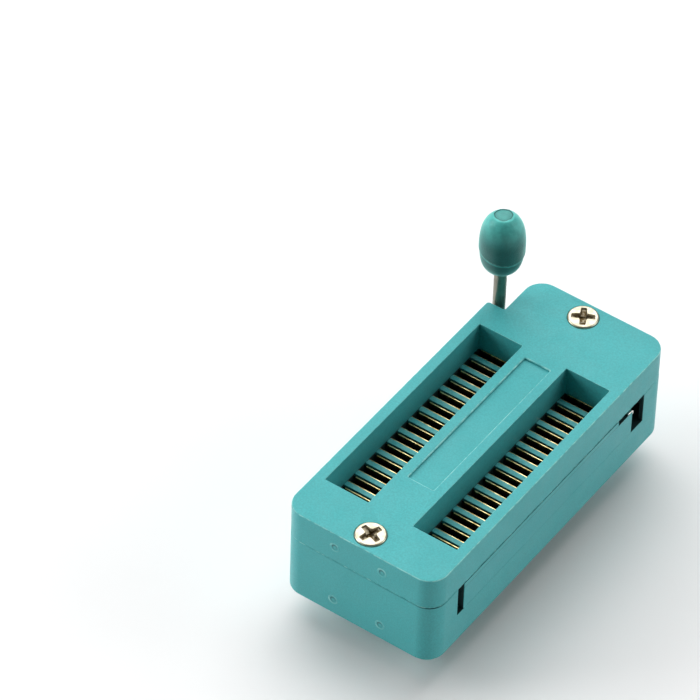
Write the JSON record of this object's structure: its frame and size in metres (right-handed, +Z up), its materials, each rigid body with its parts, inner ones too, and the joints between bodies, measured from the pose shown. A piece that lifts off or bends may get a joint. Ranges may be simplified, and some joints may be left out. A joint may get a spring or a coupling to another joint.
{
  "type": "zero insertion force dip socket",
  "caption": "Teal lever-operated test socket: a cam lever slides a slotted plate that squeezes two rows of twin-leaf contacts onto a dual in-line package.",
  "frame": {"origin": "Middle of the board seat, the plane of the bottoms of the feet.", "axes": "+Z up out of the board, +Y along the body to the lever end, +X to the right seen from the plain end."},
  "size_m": [0.0274, 0.0572, 0.0371],
  "materials": {
    "socket_base": "moulded satin, flash lines",
    "socket_cover": "moulded satin, flash lines",
    "slide": "moulded satin",
    "knob": "moulded satin",
    "wear_steel": "bright strip",
    "rod_steel": "drawn rod",
    "screw_nickel": "nickel plate",
    "contact_metal": "gold-plated strip, dulled tails"
  },
  "bodies": {
    "housing": {"base": "socket_base", "top_cover": "socket_cover", "cover_screw_front": "screw_nickel", "cover_screw_rear": "screw_nickel", "contact_left_01": "contact_metal", "contact_left_02": "contact_metal", "contact_left_03": "contact_metal", "contact_left_04": "contact_metal", "contact_left_05": "contact_metal", "contact_left_06": "contact_metal", "contact_left_07": "contact_metal", "contact_left_08": "contact_metal", "contact_left_09": "contact_metal", "contact_left_10": "contact_metal", "contact_left_11": "contact_metal", "contact_left_12": "contact_metal", "contact_left_13": "contact_metal", "contact_left_14": "contact_metal", "contact_right_01": "contact_metal", "contact_right_02": "contact_metal", "contact_right_03": "contact_metal", "contact_right_04": "contact_metal", "contact_right_05": "contact_metal", "contact_right_06": "contact_metal", "contact_right_07": "contact_metal", "contact_right_08": "contact_metal", "contact_right_09": "contact_metal", "contact_right_10": "contact_metal", "contact_right_11": "contact_metal", "contact_right_12": "contact_metal", "contact_right_13": "contact_metal", "contact_right_14": "contact_metal"},
    "slider": {"slide_plate": "slide", "slide_wear_strip": "wear_steel"},
    "lever": {"lever_rod": "rod_steel", "lever_cam": "rod_steel", "lever_knob": "knob"}
  },
  "joints": [
    {"name": "lever_hinge", "type": "hinge", "parent": "housing", "child": "lever", "pos_m": [0, 0.0218, 0.00875], "axis": [-1, 0, 0], "range_deg": [0, 90]},
    {"name": "slide_travel", "type": "slide", "parent": "housing", "child": "slider", "axis": [0, -1, 0], "range_m": [0, 0.00075], "deforming": ["contact_left_01", "contact_left_02", "contact_left_03", "contact_left_04", "contact_left_05", "contact_left_06", "contact_left_07", "contact_left_08", "contact_left_09", "contact_left_10", "contact_left_11", "contact_left_12", "contact_left_13", "contact_left_14", "contact_right_01", "contact_right_02", "contact_right_03", "contact_right_04", "contact_right_05", "contact_right_06", "contact_right_07", "contact_right_08", "contact_right_09", "contact_right_10", "contact_right_11", "contact_right_12", "contact_right_13", "contact_right_14"]}
  ],
  "couplings": [
    {"joint": "slide_travel", "follows": "lever_hinge", "m_per_rad": 0.00047746}
  ]
}
